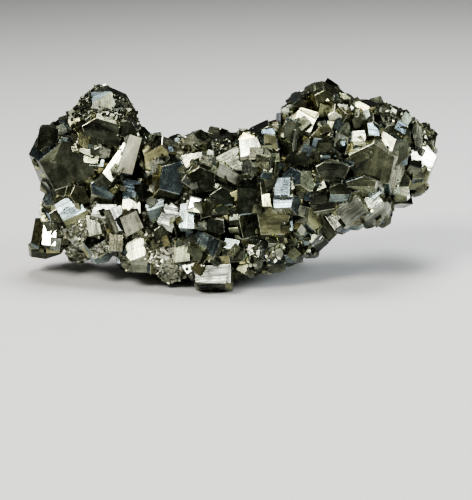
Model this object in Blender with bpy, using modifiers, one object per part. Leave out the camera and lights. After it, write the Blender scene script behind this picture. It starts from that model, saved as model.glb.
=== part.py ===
"""A pyrite cluster: crystals grown together over a saddle of granular pyrite, sawn flat where it rests.

Everything is drawn in millimetres from the front foot, the foremost point that touches the ground,
with X to the right, Y to the back and Z up. The finished cluster is one solid, moved to stand over
the middle of its footprint.
"""

import math
import random

import bmesh
import bpy
from mathutils import Matrix, Vector
from mathutils.bvhtree import BVHTree

MM = 0.001

# The front foot, from the middle of the finished cluster's footprint.
FRONT_FOOT = Vector((-2.2, -21.3, 0.0))

# The point that the front is drawn from, how far its sight line looks down and leans, and how far
# behind the front foot a sight line that misses the skin ends.
EYE = Vector((3.2, -374.9, 120.3))
LOOK_DOWN = math.radians(16.0)
LEAN = math.radians(1.35)
SIGHT_END = 21.65

# How far the granular body lies under the crystals, how finely each skin is divided, and how
# strongly and how many times its valleys are smoothed.
DRUSE_DEPTH = 2.6
SKIN_VOXEL = 2.0
BODY_VOXEL = 2.2
VALLEY_SMOOTHING = (0.6, 5)

# Height and size of the body's lumps, the share of a lump that is a hollow, and the share of the
# body's faces that is kept.
LUMP_HEIGHT = 3.0
LUMP_SIZE = 4.5
LUMP_HOLLOW = 0.55
FACETS_KEPT = 0.12

# Faces closer to flat than this are one face.
FLAT_WITHIN = math.radians(2.0)

# A crystal reaches at least this far under its face, so that it's rooted in the body, and it
# is this much larger than its face alone, so that it grows into its neighbours.
ROOT_DEPTH = 7.0
GROWN_TOGETHER = 1.15
STANDS_PROUD = (-0.5, 0.6)

# How much a crystal's other faces differ in distance, and in direction, from an ideal crystal's.
UNEVEN = 0.12
CROOKED = 0.1

SEED = 7

# Crystals that fill the rest of the skin, at the front, round the edge that the front is seen
# against, and on the back: nearest distance to another crystal, and range of widths.
FRONT_FILL = (6.6, (4.5, 6.5))
EDGE_FILL = (7.4, (3.0, 4.5))
BACK_FILL = (10.5, (7.0, 9.5))
EDGE_WIDTH = 0.55
FRONT_EDGE = 0.35
EDGE_SINK = 1.0
BACK_FILL_HEIGHT = 12.0
FILL_TILT = 38.0
FILL_SQUATNESS = (0.7, 1.0)
FILL_HABITS = ("pentagon", "modified", "cube")

# Rounded masses that the crystals grow over: centre and radii.
LOBES = {
    "left_face": ((-45, 27, 34), (9.5, 12, 10)),
    "left_crown": ((-34, 30, 37.5), (12, 14, 15)),
    "left_shoulder": ((-28, 26, 35.5), (8.5, 13, 11.5)),
    "notch": ((-18, 22, 30), (10, 13, 12)),
    "left_waist": ((-37, 27, 23), (15, 14, 13)),
    "left_foot": ((-43.5, 29, 17), (12.5, 12, 9)),
    "left_tip": ((-51, 24, 12.5), (5, 8, 4.5)),
    "left_rim": ((-26, 22, 15), (18, 16, 11)),
    "middle": ((-6, 21, 24), (18, 17, 17.5)),
    "middle_low": ((-8, 18, 12), (18, 16, 12.5)),
    "toe": ((-2.5, 10, 8), (11.5, 11, 9)),
    "right_middle": ((14, 20, 27), (16, 18, 18)),
    "right_low": ((13, 16, 11.5), (12, 14, 9.5)),
    "right_keel": ((23.5, 18, 16.5), (9.5, 13, 9.5)),
    "right_crown": ((29, 24, 39.5), (12.5, 16, 15)),
    "right_shoulder": ((42.5, 25, 37), (14, 17, 11.5)),
    "right_belly": ((35, 20, 26), (14, 18, 13)),
    "right_chin": ((42, 22, 21), (9, 12, 8)),
    "right_end": ((51.5, 29, 31), (9.5, 13, 10.5)),
    "heel": ((-2, 30, 10), (26, 14, 13)),
}

# Granular masses that stand as high as the crystals. Only the front's own crystals start on them,
# or closer to one than this share of its radius.
NEAR_BARE = 1.07
BARE = {
    "left_crown_top": ((-34, 30, 44), (9.8, 12, 10)),
    "saddle_rim": ((-2, 25, 28), (18, 12, 13.5)),
    "right_shoulder_top": ((45, 28, 38), (11, 14, 10.5)),
    "left_matrix": ((-37, 22.5, 14.5), (11, 13, 7.5)),
    "middle_matrix": ((-16, 17, 8.5), (10, 14, 6.5)),
    "right_end_knob": ((56, 30, 34), (5.8, 10, 7)),
    "sole": ((-1, 28, 6), (19, 13, 9)),
}

# The front's crystals, by hand. Each has the place of its main face on an upright sheet through
# the front foot, square to the sight line, as millimetres across and up. Then come that face's
# width and height, the crystal's habit, and the face's yaw to the right, pitch up and roll to
# the left, in degrees from the sight line.
CRYSTALS = {
    "left_tower": (
        (-49.5, 41, 7, 10, "block", -38, 2, -8),
        (-44, 44, 4, 4.5, "pentagon", 8, -8, 20),
        (-48, 40.5, 3, 7, "cube", -15, 17, -22),
        (-42.5, 34.5, 13, 11, "pentagon", -4, -10, 10),
        (-43, 41.5, 6.5, 4, "modified", 12, 2, -30),
        (-41, 44.5, 3, 8.5, "cube", -22, 14, 18),
        (-42, 49.5, 3.5, 3.5, "pentagon", -20, 26, 0),
        (-45.5, 48.5, 3.5, 3.5, "cube", -30, 6, 15),
        (-38, 53, 4.5, 3.5, "modified", -12, 22, 30),
        (-32.5, 49.5, 5, 3.5, "cube", -14, 19, -25),
        (-36.5, 49, 4, 3, "pentagon", -4, 6, 10),
        (-28.5, 51, 4, 4, "cube", 20, 14, -20),
        (-34, 44, 11.5, 7, "pentagon", -2, -9, 5),
        (-27, 45, 4.5, 5, "modified", 16, -6, -20),
        (-39, 44, 3, 5, "cube", -26, 8, -5),
        (-38.5, 40.5, 5, 3, "cube", -8, 26, -25),
        (-34, 39, 4.5, 3.5, "pentagon", 4, -14, 0),
        (-35.5, 37, 3.5, 2.5, "cube", -15, 17, -10),
        (-30.5, 36.5, 4.5, 11, "block", -16, 15, -38),
        (-26.5, 38, 3.5, 9, "cube", 14, 4, -20),
        (-34.5, 34.5, 4, 3.5, "modified", -6, 2, 0),
    ),
    "left_foot": (
        (-49, 31, 5.5, 7, "block", -40, -4, -30),
        (-48, 26.5, 5, 4.5, "modified", -30, 6, 20),
        (-50, 23, 2.5, 4.5, "cube", -16, 16, 5),
        (-43, 24.5, 6.5, 8.5, "block", -17, 13, 32),
        (-46.5, 21.5, 4.5, 4.5, "pentagon", 4, -10, 0),
        (-49, 17, 3.5, 5.5, "cube", -15, 17, -5),
        (-52.5, 17, 3.5, 8, "block", -36, 6, -15),
        (-46, 17, 3.5, 5, "cube", 6, -4, 5),
        (-51, 13, 6.5, 3, "modified", -8, 8, 0),
        (-40.5, 27, 4.5, 5.5, "pentagon", 8, -6, 25),
        (-34, 28.5, 7.5, 7.5, "modified", 2, -8, -10),
        (-29.5, 28.5, 2.5, 7, "cube", 18, 2, 0),
        (-26, 29, 5.5, 6, "block", -24, 4, 0),
        (-22, 28.5, 2.5, 4, "cube", 28, 0, 0),
        (-26.5, 24.5, 4.5, 4, "cube", -12, 20, 0),
        (-34, 23, 6.5, 5, "block", -15, 17, -12),
        (-29.5, 21, 3, 6.5, "cube", 30, 11, 15),
        (-26, 19.5, 4, 5, "cube", 10, -14, 20),
        (-39.5, 20.5, 3.5, 3, "pentagon", -14, 18, 20),
        (-36.5, 19, 3.5, 5, "cube", -22, 12, 10),
        (-30.5, 14.5, 4, 4.5, "cube", -22, 10, -5),
        (-41.5, 13.5, 6, 5, "modified", -12, 4, 0),
        (-36, 14, 5, 5, "modified", -6, 4, 30),
        (-25, 13, 6.5, 6.5, "pentagon", -15, 17, 20),
        (-21.5, 7.5, 3.5, 4, "pentagon", -20, 10, 0),
        (-29, 10, 2.5, 2.5, "cube", -14, 16, 0),
    ),
    "middle": (
        (-19, 35.5, 3.5, 4.5, "pentagon", -22, 8, 0),
        (-15, 38, 5.5, 4, "modified", 8, 4, 0),
        (-9, 37, 6.5, 5.5, "block", -12, 22, 8),
        (-14.5, 32, 7.5, 7, "pentagon", 6, -4, -15),
        (-18.5, 30, 5.5, 3.5, "modified", -24, 4, 15),
        (-6.5, 31, 7, 6, "pentagon", -2, -12, 8),
        (-9.5, 32.5, 3, 5, "cube", 10, 2, -40),
        (-4.5, 35.5, 3.5, 3.5, "pentagon", 14, 6, 0),
        (1, 33, 6.5, 3, "cube", 6, -14, -30),
        (2, 37, 8.5, 7, "pentagon", -22, 10, -5),
        (8, 41, 8, 5, "block", -13, 19, 12),
        (6, 34.5, 4, 4.5, "pentagon", -26, 2, 0),
        (-0.5, 27, 6.5, 5, "modified", -2, -14, 0),
        (-8.5, 25, 3.5, 4, "cube", -15, 17, -10),
        (-11, 22, 3.5, 5.5, "cube", -17, 14, 0),
        (-19.5, 24, 5, 5, "modified", -20, 14, 10),
        (-15.5, 21.5, 5, 7, "block", -16, 12, -28),
        (-12, 18.5, 4, 4.5, "pentagon", -4, 2, 0),
        (-8, 21.5, 2.5, 5, "cube", 20, 8, -5),
        (-5.5, 24, 3.5, 4.5, "pentagon", 12, -2, 0),
        (3, 24, 3, 8.5, "pentagon", -24, 12, -10),
        (-1, 22, 7, 4.5, "pentagon", 6, -20, 0),
        (-4, 17.5, 8, 5.5, "pentagon", -4, -20, 15),
        (-5.5, 13.5, 8, 5.5, "block", -8, 4, -30),
        (-7.5, 10.5, 4.5, 3.5, "pentagon", -26, 0, -20),
        (6, 18, 8, 8.5, "modified", 10, -8, 0),
    ),
    "lower_middle": (
        (1.5, 14, 4, 2.5, "cube", -15, 16, -10),
        (2, 11, 5, 3, "cube", -8, 4, 0),
        (-16, 11.5, 5.5, 5.5, "modified", -22, 8, 10),
        (-12, 12, 4, 5.5, "cube", -16, 16, 0),
        (-17.5, 16.5, 3.5, 3.5, "pentagon", 6, -8, 0),
        (-11.5, 16, 4, 3.5, "pentagon", -10, 8, 0),
        (-9.5, 8.5, 4.5, 3.5, "cube", -15, 16, 30),
        (-15.5, 7.5, 4.5, 3.5, "modified", -4, 8, 0),
        (-4, 6, 8.5, 5.5, "block", -10, 20, -4),
        (-3.5, 3, 6.5, 3, "block", -12, 4, 0),
        (5, 8.5, 2.5, 4, "cube", -20, 14, -22),
        (6.5, 10.5, 4.5, 5, "cube", -22, 14, -5),
        (10, 11.5, 3.5, 5.5, "modified", 20, 8, 0),
        (13.5, 10, 3.5, 4.5, "pentagon", 8, -8, 0),
        (9, 6, 6.5, 3.5, "modified", 4, -8, 0),
    ),
    "right_middle": (
        (12.5, 40.5, 3, 7, "cube", 8, -12, 5),
        (16.5, 43, 5.5, 8, "modified", -28, 4, 0),
        (10.5, 36, 4.5, 6.5, "pentagon", -26, 8, 0),
        (20, 45, 5, 5.5, "cube", 6, -16, -35),
        (22, 48, 5.5, 6.5, "block", -15, 17, -20),
        (18, 50.5, 4.5, 4, "modified", -12, 10, 0),
        (22, 41.5, 5, 4, "pentagon", -26, 6, 0),
        (21.5, 36.5, 3, 5, "cube", 6, -14, 0),
        (24.5, 38, 4, 4, "pentagon", -4, -16, 180),
        (18.5, 32, 5, 4.5, "pentagon", -26, 2, 10),
        (15.5, 30, 4.5, 5, "cube", -21, 12, 0),
        (13, 34, 4.5, 6.5, "modified", 18, 12, 0),
        (7, 27, 7, 8, "block", -2, -12, 0),
        (11, 27.5, 2.5, 5.5, "cube", 30, 12, 0),
        (16, 26, 5, 3.5, "pentagon", -20, 10, 0),
        (13, 20.5, 8, 7.5, "pentagon", -2, -10, 0),
        (17.5, 21.5, 2.5, 5.5, "cube", 31, 12, 0),
        (20.5, 22, 5, 5.5, "pentagon", -28, 2, 0),
        (19, 18, 3, 4.5, "cube", -24, -4, 25),
        (23, 21, 4, 3, "cube", 18, 8, -35),
        (22, 28, 3.5, 3.5, "pentagon", 2, -6, 0),
        (26.5, 26.5, 6.5, 6, "pentagon", 4, -8, 10),
        (23, 32, 4.5, 4, "modified", -18, 10, 0),
        (25.5, 32, 2.5, 5.5, "cube", -15, 17, 22),
        (30, 33.5, 8, 5.5, "modified", 0, -10, 0),
    ),
    "right_crown": (
        (20.5, 52.5, 3.5, 3.5, "modified", 4, 0, 0),
        (24.5, 55.5, 4, 3, "modified", -8, 8, 0),
        (29, 56.5, 4, 3, "modified", 6, 10, 0),
        (27.5, 53.5, 6, 4.5, "pentagon", 0, -6, 0),
        (31, 51, 4.5, 4, "cube", -16, 14, -10),
        (32, 54, 4, 3.5, "modified", -6, 16, 0),
        (30.5, 48.5, 4, 4, "pentagon", 4, -14, 0),
        (28, 46, 3, 3.5, "cube", -14, 18, -10),
        (27, 43.5, 5.5, 4, "pentagon", 2, -8, 20),
        (27.5, 40.5, 3.5, 3.5, "cube", 8, -10, 0),
        (31.5, 40.5, 4.5, 3.5, "pentagon", -6, 0, 0),
        (32.5, 45.5, 3.5, 6.5, "modified", 22, 14, -10),
        (30, 37.5, 5.5, 3, "cube", 4, -12, -28),
        (37, 51, 5, 4.5, "modified", -18, 12, 0),
        (37.5, 47, 4.5, 3.5, "pentagon", 2, -14, 0),
        (36.5, 44, 5, 3, "cube", -20, 18, 0),
        (36, 40, 7.5, 6.5, "block", -24, 10, 30),
        (43.5, 41.5, 6.5, 6, "pentagon", -20, 16, 0),
        (41, 45.5, 3.5, 3.5, "pentagon", 4, -12, 0),
        (47, 44, 4, 7.5, "modified", 18, 12, 0),
        (40.5, 35.5, 11.5, 8.5, "pentagon", 2, -8, 0),
    ),
    "right_end": (
        (49.5, 40.5, 3.5, 10, "block", 24, -10, 0),
        (50, 48.5, 2.5, 5, "cube", 31, 12, -40),
        (53.5, 43.5, 3.5, 5.5, "pentagon", 20, 14, 0),
        (57, 42.5, 4, 5, "modified", 30, -4, 0),
        (55, 37.5, 7.5, 7, "pentagon", 31, 11, -20),
        (53.5, 33.5, 4, 4, "pentagon", 20, -8, 0),
        (49, 31.5, 3.5, 5, "modified", 18, 10, 0),
        (54.5, 31, 2.5, 4, "modified", 36, 2, 0),
        (46, 31, 3.5, 5.5, "cube", 30, 12, 5),
        (38, 30.5, 7.5, 3.5, "modified", 6, 10, 0),
        (39.5, 25.5, 7, 6, "block", -16, 14, 38),
        (34, 24, 7, 7.5, "block", -24, -2, 38),
        (30, 21.5, 4, 5.5, "block", -20, 8, 38),
        (28, 18, 3, 5.5, "cube", 2, -12, 38),
        (24, 17, 4, 5, "block", -16, 16, 38),
        (32, 28.5, 5, 3.5, "modified", 6, -8, 0),
        (49.5, 27, 4.5, 3, "cube", 22, 12, 0),
        (45, 25, 3, 3, "modified", 16, 10, 0),
        (45, 23, 3, 4, "modified", 20, 4, 0),
        (41, 22.5, 4, 3.5, "pentagon", 4, -4, 0),
    ),
    "lower_right": (
        (22, 15.5, 3.5, 3.5, "pentagon", 4, -14, 0),
        (14, 14.5, 4.5, 3.5, "modified", 10, 4, 0),
        (17.5, 13, 4.5, 3.5, "pentagon", -6, -4, 0),
        (22, 13, 3, 2.5, "cube", -15, 17, 0),
        (17.5, 11, 4, 2.5, "modified", -10, 8, 0),
        (13, 8.5, 2.5, 2.5, "modified", 6, 0, 0),
    ),
}

PYRITOHEDRON = [Vector(direction).normalized() for direction in (
    (2, 1, 0), (2, -1, 0), (-2, 1, 0), (-2, -1, 0),
    (0, 2, 1), (0, 2, -1), (0, -2, 1), (0, -2, -1),
    (1, 0, 2), (-1, 0, 2), (1, 0, -2), (-1, 0, -2),
)]
CUBE = [Vector(direction) for direction in (
    (1, 0, 0), (-1, 0, 0), (0, 1, 0), (0, -1, 0), (0, 0, 1), (0, 0, -1),
)]

# Distances of the faces from the middle of a crystal whose main face is 2 wide, and the main
# face's height.
PENTAGON_FACE = 3 / math.sqrt(5)
PENTAGON_HEIGHT = 1.677
SMALL_CUBE_FACE = 1.36
CUBE_FACE = 1.0
CUBE_HEIGHT = 2.0
BEVEL_FACE = 1.26
UNCUT_CUBE = 5.0

# Each habit's face planes, its main face's height, and the direction of its main face and top.
HABITS = {
    "pentagon": ([(n, PENTAGON_FACE) for n in PYRITOHEDRON], PENTAGON_HEIGHT, (2, 1, 0), (-1, 2, 0)),
    "modified": (
        [(n, PENTAGON_FACE) for n in PYRITOHEDRON] + [(n, SMALL_CUBE_FACE) for n in CUBE],
        PENTAGON_HEIGHT, (2, 1, 0), (-1, 2, 0),
    ),
    "block": (
        [(n, CUBE_FACE) for n in CUBE] + [(n, BEVEL_FACE) for n in PYRITOHEDRON],
        CUBE_HEIGHT, (1, 0, 0), (0, 1, 0),
    ),
    "cube": ([(n, CUBE_FACE) for n in CUBE], CUBE_HEIGHT, (1, 0, 0), (0, 1, 0)),
}


def clear_scene():
    for thing in list(bpy.data.objects):
        bpy.data.objects.remove(thing, do_unlink=True)


def new_collection(name, parent=None):
    made = bpy.data.collections.new(name)
    (parent or bpy.context.scene.collection).children.link(made)
    return made


def add_object(name, mesh, collection):
    thing = bpy.data.objects.new(name, mesh)
    collection.objects.link(thing)
    return thing


def make_helper(thing):
    """Cutters, guides and the crystals that are joined to the body aren't pieces themselves."""
    thing.hide_render = True
    thing.display_type = "WIRE"


def mesh_from(bm, name):
    mesh = bpy.data.meshes.new(name)
    bm.to_mesh(mesh)
    bm.free()
    return mesh


def lobes_mesh(name, lobes):
    """An ellipsoid for each lobe, given by its centre and radii in millimetres."""
    bm = bmesh.new()
    for centre, radii in lobes:
        place = Matrix.Translation(centre) @ Matrix.Diagonal((*radii, 1))
        bmesh.ops.create_icosphere(bm, subdivisions=4, radius=1, matrix=Matrix.Scale(MM, 4) @ place)
    return mesh_from(bm, name)


def one_skin(name, lobes, voxel, collection):
    """Melts the lobes into one smooth skin."""
    thing = add_object(name, lobes_mesh(name, lobes), collection)
    melt = thing.modifiers.new("melt", "REMESH")
    melt.mode = "VOXEL"
    melt.voxel_size = voxel * MM
    valleys = thing.modifiers.new("soft_valleys", "SMOOTH")
    valleys.factor, valleys.iterations = VALLEY_SMOOTHING
    return thing


def roughen(thing):
    """The broken, lumpy surface between and behind the crystals, in coarse facets."""
    lumps = bpy.data.textures.new("lumps", "CLOUDS")
    lumps.noise_scale = LUMP_SIZE * MM
    relief = thing.modifiers.new("lumps", "DISPLACE")
    relief.texture = lumps
    relief.texture_coords = "LOCAL"
    relief.strength = LUMP_HEIGHT * MM
    relief.mid_level = LUMP_HOLLOW
    facets = thing.modifiers.new("facets", "DECIMATE")
    facets.ratio = FACETS_KEPT


def cut_by_planes(planes):
    """A cube cut by face planes, each given by a direction and a distance from the middle."""
    bm = bmesh.new()
    bmesh.ops.create_cube(bm, size=UNCUT_CUBE)
    for normal, distance in planes:
        everything = bm.verts[:] + bm.edges[:] + bm.faces[:]
        bmesh.ops.bisect_plane(
            bm, geom=everything, plane_co=normal * distance, plane_no=normal, clear_outer=True
        )
        rim = [edge for edge in bm.edges if edge.is_boundary]
        if rim:
            bmesh.ops.contextual_create(bm, geom=rim)
    bmesh.ops.recalc_face_normals(bm, faces=bm.faces[:])
    return bm


def uneven(normal, distance, chance):
    """A face plane moved and turned a little from its ideal place."""
    turn = Vector(chance.uniform(-CROOKED, CROOKED) for _ in range(3))
    return (normal + turn).normalized(), distance * (1 + chance.uniform(-UNEVEN, UNEVEN))


def crystal_mesh(name, habit, width, height, chance):
    """A crystal with its main face towards +Z and that face's top towards +Y, and its face's depth."""
    planes, face_height, main, top = HABITS[habit]
    bm = cut_by_planes([planes[0]] + [uneven(*plane, chance) for plane in planes[1:]])
    main = Vector(main).normalized()
    top = Vector(top).normalized()
    stand = Matrix((top.cross(main), top, main)).to_4x4()
    bmesh.ops.transform(bm, matrix=stand, verts=bm.verts)
    depth = max((width + height) / 2, ROOT_DEPTH)
    size = Vector((width / 2, height / face_height, depth / 2)) * MM
    bmesh.ops.scale(bm, vec=size, verts=bm.verts)
    return mesh_from(bm, name), planes[0][1] * size.z


def facing(toward, yaw, pitch, roll):
    """The turn from a crystal's own axes, for a main face that looks yaw and pitch off toward."""
    right = Vector((0, 0, 1)).cross(toward).normalized()
    up = toward.cross(right)
    off_line = Matrix.Rotation(math.radians(yaw), 3, "Y") @ Matrix.Rotation(-math.radians(pitch), 3, "X")
    spin = Matrix.Rotation(math.radians(roll), 3, "Z")
    return Matrix((right, up, toward)).transposed() @ off_line @ spin


def add_crystal(name, place, toward, row, chance, collection):
    """Grows one crystal whose main face is centred near place."""
    width, height, habit, yaw, pitch, roll = row
    size = (width * GROWN_TOGETHER, height * GROWN_TOGETHER)
    mesh, face_depth = crystal_mesh(name, habit, *size, chance)
    turn = facing(toward, yaw, pitch, roll)
    normal = turn @ Vector((0, 0, 1))
    proud = chance.uniform(*STANDS_PROUD) * MM
    thing = add_object(name, mesh, collection)
    thing.matrix_world = Matrix.Translation(place + normal * (proud - face_depth)) @ turn.to_4x4()
    make_helper(thing)


def front_place(skin, across, up):
    """Where the sight line through a point of the upright sheet meets the skin."""
    look = Matrix.Rotation(-LOOK_DOWN, 3, "X") @ Matrix.Rotation(LEAN, 3, "Y")
    on_sheet = look @ Vector((across, 0, up))
    start = EYE * MM
    sight = (on_sheet - EYE).normalized()
    place = skin.ray_cast(start, sight)[0]
    if place is None:
        beside = start + sight * (EYE.length + SIGHT_END) * MM
        place = skin.find_nearest(beside)[0]
    return place, -sight


def grow_front(skin, chance, collection):
    """The crystals of the table. Returns their places."""
    places = []
    for region, rows in CRYSTALS.items():
        for number, (across, up, *row) in enumerate(rows):
            place, toward = front_place(skin, across, up)
            add_crystal(f"{region}_{number:02d}", place, toward, row, chance, collection)
            places.append(place)
    return places


def is_bare(place):
    """Whether a place lies in or just over one of the granular masses."""
    for centre, radii in BARE.values():
        offset = place / MM - Vector(centre)
        if math.hypot(*(along / radius for along, radius in zip(offset, radii))) < NEAR_BARE:
            return True
    return False


def grow_rest(skin_mesh, places, chance, collection):
    """Fills the gaps at the front with small crystals, and scatters larger ones on the back."""
    faces = list(skin_mesh.polygons)
    chance.shuffle(faces)
    number = 0
    for face in faces:
        toward_eye = (EYE * MM - face.center).normalized()
        faces_eye = face.normal.dot(toward_eye)
        spacing, widths = FRONT_FILL
        lowest = MM
        sink = 0.0
        if faces_eye < FRONT_EDGE:
            spacing, widths = EDGE_FILL
            sink = EDGE_SINK * MM
        if faces_eye < -EDGE_WIDTH:
            spacing, widths = BACK_FILL
            lowest = BACK_FILL_HEIGHT * MM
            sink = 0.0
        near = any((face.center - place).length < spacing * MM for place in places)
        if near or face.center.z < lowest or is_bare(face.center):
            continue
        width = chance.uniform(*widths)
        habit = chance.choice(FILL_HABITS)
        tilts = [chance.uniform(-FILL_TILT, FILL_TILT) for _ in range(2)]
        height = width * chance.uniform(*FILL_SQUATNESS)
        row = (width, height, habit, *tilts, chance.uniform(0, 360))
        place = face.center - face.normal * sink
        add_crystal(f"filler_{number:02d}", place, face.normal, row, chance, collection)
        places.append(face.center.copy())
        number += 1


def add_block(name, collection, lowest, highest):
    bm = bmesh.new()
    bmesh.ops.create_cube(bm, size=1.0)
    size = (highest - lowest) * MM
    middle = (highest + lowest) / 2 * MM
    bmesh.ops.scale(bm, vec=size, verts=bm.verts)
    bmesh.ops.translate(bm, vec=middle, verts=bm.verts)
    block = add_object(name, mesh_from(bm, name), collection)
    make_helper(block)
    return block


def add_boolean(thing, name, operation, **operand):
    step = thing.modifiers.new(name, "BOOLEAN")
    step.operation = operation
    step.solver = "EXACT"
    for key, value in operand.items():
        setattr(step, key, value)


def pyrite_material():
    material = bpy.data.materials.new("pyrite")
    material.use_nodes = True
    shader = material.node_tree.nodes["Principled BSDF"]
    shader.inputs["Base Color"].default_value = (0.58, 0.54, 0.43, 1)
    shader.inputs["Metallic"].default_value = 1.0
    shader.inputs["Roughness"].default_value = 0.3
    return material


def bake(thing):
    """Replaces an object's mesh by the one that its modifiers make."""
    bpy.context.view_layer.update()
    graph = bpy.context.evaluated_depsgraph_get()
    made = bpy.data.meshes.new_from_object(thing.evaluated_get(graph))
    thing.modifiers.clear()
    thing.data = made


def island(start):
    """All vertices joined to one."""
    found = {start}
    border = [start]
    while border:
        around = {edge.other_vert(vertex) for vertex in border for edge in vertex.link_edges}
        border = list(around - found)
        found |= around
    return found


def fill_pockets(thing):
    """Keeps only the outer surface, so that pockets sealed between crystals are solid."""
    bm = bmesh.new()
    bm.from_mesh(thing.data)
    left = set(bm.verts)
    islands = []
    while left:
        islands.append(island(next(iter(left))))
        left -= islands[-1]
    islands.sort(key=len)
    for inner in islands[:-1]:
        bmesh.ops.delete(bm, geom=list(inner), context="VERTS")
    bm.to_mesh(thing.data)
    bm.free()


def grow_crystals(cutters):
    """All crystals, in a collection of their own, rooted on a guide skin."""
    crystals = new_collection("crystals", cutters)
    guide = one_skin("skin_guide", LOBES.values(), SKIN_VOXEL, cutters)
    bake(guide)
    make_helper(guide)
    points = [vertex.co for vertex in guide.data.vertices]
    skin = BVHTree.FromPolygons(points, [face.vertices for face in guide.data.polygons])
    chance = random.Random(SEED)
    places = grow_front(skin, chance, crystals)
    grow_rest(guide.data, places, chance, crystals)
    return crystals


def join_cluster(cluster, cutters, crystals):
    """The body with its crystals grown on, sawn flat underneath."""
    deep = [(centre, [r - DRUSE_DEPTH for r in radii]) for centre, radii in LOBES.values()]
    body = one_skin("pyrite_cluster", [*deep, *BARE.values()], BODY_VOXEL, cluster)
    roughen(body)
    add_boolean(body, "grow_crystals", "UNION", operand_type="COLLECTION", collection=crystals)
    bench = add_block("bench", cutters, Vector((-90, -60, -30)), Vector((90, 60, 0)))
    add_boolean(body, "saw_base", "DIFFERENCE", object=bench)
    flat = body.modifiers.new("flat_faces", "DECIMATE")
    flat.decimate_type = "DISSOLVE"
    flat.angle_limit = FLAT_WITHIN
    bake(body)
    fill_pockets(body)
    body.data.materials.append(pyrite_material())
    return body


def main():
    clear_scene()
    cutters = new_collection("cutters")
    cluster = new_collection("pyrite")
    crystals = grow_crystals(cutters)
    body = join_cluster(cluster, cutters, crystals)
    body.data.transform(Matrix.Translation(FRONT_FOOT * MM))
    for helper in cutters.all_objects:
        helper.location += FRONT_FOOT * MM


main()
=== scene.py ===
# %% [markdown]
# # A cluster of pyrite
#
# Pyrite grows as metallic crystals: cubes, and twelve-sided crystals with faces like pentagons.
# Here a few hundred of them have grown together over a saddle of granular pyrite. The frame holds
# the solid at its real size, with every large crystal in place, and this lesson gives it what the
# solid leaves out: grown steps and striations on the faces, worn edges, the small crystals in the
# crevices, the broken grains of the bare masses, and the metal itself, bright, tarnished or
# stained from face to face.

# %% Load the frame
import itertools
import math
import random

import bmesh
import bpy
from mathutils import Matrix, Vector
from mathutils.bvhtree import BVHTree
from mathutils.kdtree import KDTree


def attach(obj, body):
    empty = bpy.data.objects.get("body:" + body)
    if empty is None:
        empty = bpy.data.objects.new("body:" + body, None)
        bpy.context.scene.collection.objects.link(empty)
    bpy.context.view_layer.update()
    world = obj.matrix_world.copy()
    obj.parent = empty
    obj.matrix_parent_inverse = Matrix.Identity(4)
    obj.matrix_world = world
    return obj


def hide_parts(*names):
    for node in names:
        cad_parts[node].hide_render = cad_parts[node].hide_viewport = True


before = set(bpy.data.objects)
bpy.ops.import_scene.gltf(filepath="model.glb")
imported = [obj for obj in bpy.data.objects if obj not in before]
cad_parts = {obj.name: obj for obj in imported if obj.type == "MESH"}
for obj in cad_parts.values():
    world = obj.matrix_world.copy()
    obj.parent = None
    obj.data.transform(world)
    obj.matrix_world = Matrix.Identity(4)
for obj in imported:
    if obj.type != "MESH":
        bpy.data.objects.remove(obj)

MM = 0.001
chance = random.Random(12)
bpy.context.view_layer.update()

# %% [markdown]
# ## Choosing what an operator acts on
#
# Blender's operators act on whatever is selected. So each step first deselects everything, then
# selects its own pieces or faces. Faces are chosen by a rule, such as their size, their place or
# a mark that they carry, because a face's own number changes with each edit.

# %% Selection helpers
def pick(piece):
    """Selects only this piece, and makes it the active one."""
    bpy.ops.object.select_all(action="DESELECT")
    piece.select_set(True)
    bpy.context.view_layer.objects.active = piece


def open_mesh(piece, kind="FACE"):
    """Goes into edit mode with nothing selected."""
    pick(piece)
    bpy.ops.object.mode_set(mode="EDIT")
    bpy.ops.mesh.select_mode(type=kind)
    bpy.ops.mesh.select_all(action="DESELECT")


def close_mesh():
    """Goes back to object mode, which writes the edits to the mesh."""
    bpy.ops.object.mode_set(mode="OBJECT")


# %% [markdown]
# ## The grown solid
#
# A crystal's face is flat, but the frame holds it as loose triangles. A copy of the solid is
# merged, and triangles that lie in one plane are dissolved into one face. After that a face of
# the mesh is a face of a crystal, and can be given its own finish.

# %% Merge the solid into whole faces
MERGE_WITHIN = 0.001 * MM
FLAT_WITHIN = math.radians(2.5)
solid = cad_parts["pyrite_cluster"]
cluster = bpy.data.objects.new("grown_crystals", solid.data.copy())
bpy.context.scene.collection.objects.link(cluster)
cluster.data.materials.clear()
open_mesh(cluster)
bpy.ops.mesh.select_all(action="SELECT")
bpy.ops.mesh.customdata_custom_splitnormals_clear()
bpy.ops.mesh.remove_doubles(threshold=MERGE_WITHIN)
bpy.ops.mesh.dissolve_limited(angle_limit=FLAT_WITHIN)
bpy.ops.mesh.faces_shade_flat()
close_mesh()
print("whole faces", len(cluster.data.polygons))
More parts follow.
